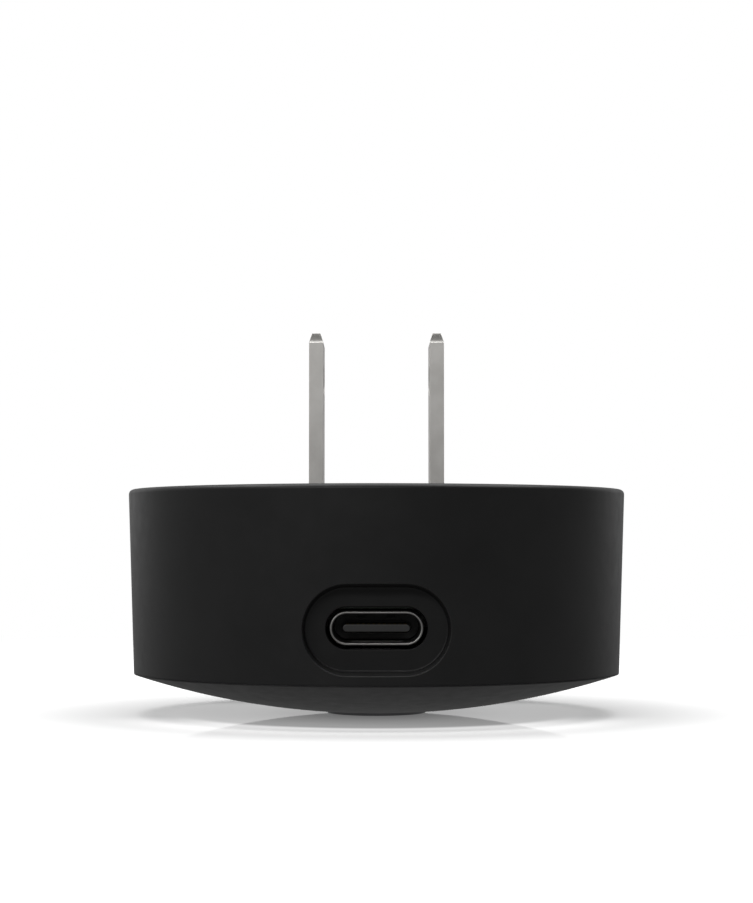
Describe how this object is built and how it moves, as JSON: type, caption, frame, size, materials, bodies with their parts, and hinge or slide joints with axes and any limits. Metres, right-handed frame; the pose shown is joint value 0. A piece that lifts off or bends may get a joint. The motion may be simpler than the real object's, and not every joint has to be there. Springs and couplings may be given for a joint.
{
  "type": "smart plug",
  "caption": "Round black plug-in wall adapter with two flat blades, a USB-C outlet recessed in its side and a lit push button in its shallow domed front.",
  "frame": {"origin": "middle of the face of the ring around the button, which is the lowest point of the domed front", "axes": "+Z from the domed front to the blades, -Y towards the USB-C outlet, +X from the left blade to the right blade as seen from the outlet's side"},
  "size_m": [0.0524, 0.0524, 0.04],
  "materials": {
    "housing_black": "satin black moulded polycarbonate",
    "button_black": "satin black",
    "button_smoke": "smoked, lets the light through",
    "light_window": "milky translucent",
    "blade_nickel": "nickel-plated, brushed along the blade",
    "screw_steel": "dark plated",
    "carrier_ivory": "moulded",
    "contact_brass": "bare",
    "usb_steel": "satin stamped",
    "usb_black": "moulded",
    "contact_gold": "gold plated",
    "board_green": "solder mask",
    "radio_blue": "solder mask",
    "sheet_white": "thin film",
    "switch_black": "moulded",
    "stem_white": "moulded",
    "led_body": "clear resin",
    "ferrite": "sintered",
    "winding_tape": "polyester tape",
    "copper_wire": "enamelled copper",
    "capacitor_can": "sleeved can",
    "capacitor_metal": "bare can",
    "capacitor_box": "moulded box",
    "disc_blue": "coated disc",
    "fuse_ceramic": "with plated caps",
    "chip_black": "moulded package",
    "tin_plate": "tin-plated sheet"
  },
  "bodies": {
    "housing": {"side_shell": "housing_black", "front_cover": "housing_black", "rear_plate": "housing_black", "case_screws": "screw_steel", "blade_left": "blade_nickel", "blade_right": "blade_nickel", "blade_carrier": "carrier_ivory", "blade_lead_left": "contact_brass", "blade_lead_right": "contact_brass", "button_ring": "button_black", "switch_body": "switch_black", "switch_cover": "tin_plate", "switch_dome": "contact_brass", "usb_shell": "usb_steel", "usb_tongue": "usb_black", "usb_contacts": "contact_gold", "main_board": "board_green", "insulation_sheet": "sheet_white", "status_leds": "led_body", "transformer_core": "ferrite", "transformer_bobbin": "carrier_ivory", "transformer_winding": "winding_tape", "bulk_capacitor_left": "capacitor_can", "bulk_capacitor_right": "capacitor_can", "output_capacitor": "capacitor_metal", "x_capacitor": "capacitor_box", "y_capacitor": "disc_blue", "fuse": "fuse_ceramic", "varistor": "disc_blue", "choke_core": "ferrite", "choke_winding": "copper_wire", "output_inductor": "ferrite", "bridge_rectifier": "chip_black", "power_chip": "chip_black", "usb_power_chip": "chip_black", "radio_board": "radio_blue", "radio_shield": "tin_plate", "radio_antenna": "contact_gold"},
    "button": {"front_button": "button_smoke", "light_guide": "light_window", "switch_stem": "stem_white"}
  },
  "joints": [
    {"name": "button_press", "type": "slide", "parent": "housing", "child": "button", "axis": [0, 0, 1], "range_m": [0, 0.00035], "stiffness_N_per_m": 1500, "springref_m": -0.0008}
  ]
}
